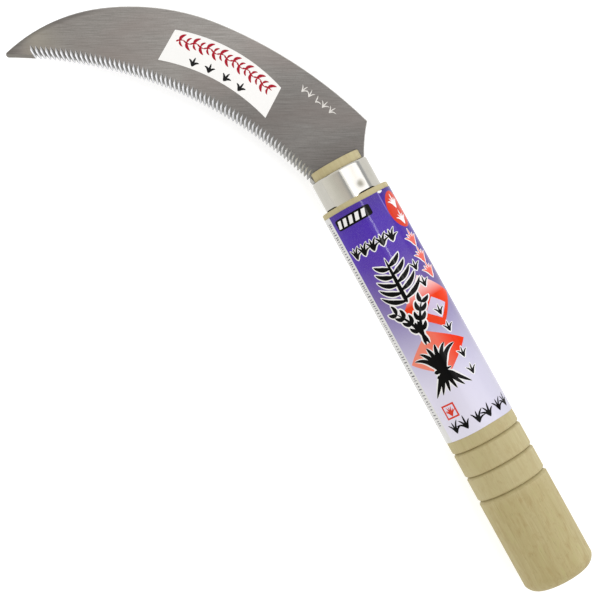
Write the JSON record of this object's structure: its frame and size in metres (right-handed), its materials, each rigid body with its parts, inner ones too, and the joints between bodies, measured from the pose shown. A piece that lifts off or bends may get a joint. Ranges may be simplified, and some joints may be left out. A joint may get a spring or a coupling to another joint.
{
  "type": "saw-toothed hand sickle",
  "caption": "Rope-cutting hand sickle: a curved saw-toothed stainless blade in a turned wooden handle with a sheet-metal ferrule, a printed film wrap and a blade sticker.",
  "frame": {"origin": "centre of the handle's flat butt face", "axes": "+X along the handle's axis from the butt towards the blade; +Z normal to the flat of the blade, on the side where the teeth are ground; +Y towards the side that the blade curves to"},
  "size_m": [0.3004, 0.1167, 0.0308],
  "materials": {
    "blade_steel": "brushed stainless sheet, ground teeth",
    "handle_wood": "turned pale hardwood, lightly sealed",
    "ferrule_metal": "bright plated sheet",
    "pin_steel": "plain wire",
    "label_film": "glossy printed film, violet fading to pale lavender",
    "sticker_film": "glossy white printed sticker"
  },
  "bodies": {
    "root": {"blade": "blade_steel", "handle": "handle_wood", "ferrule": "ferrule_metal", "tang_pin": "pin_steel", "handle_label": "label_film", "blade_sticker": "sticker_film"}
  },
  "joints": []
}
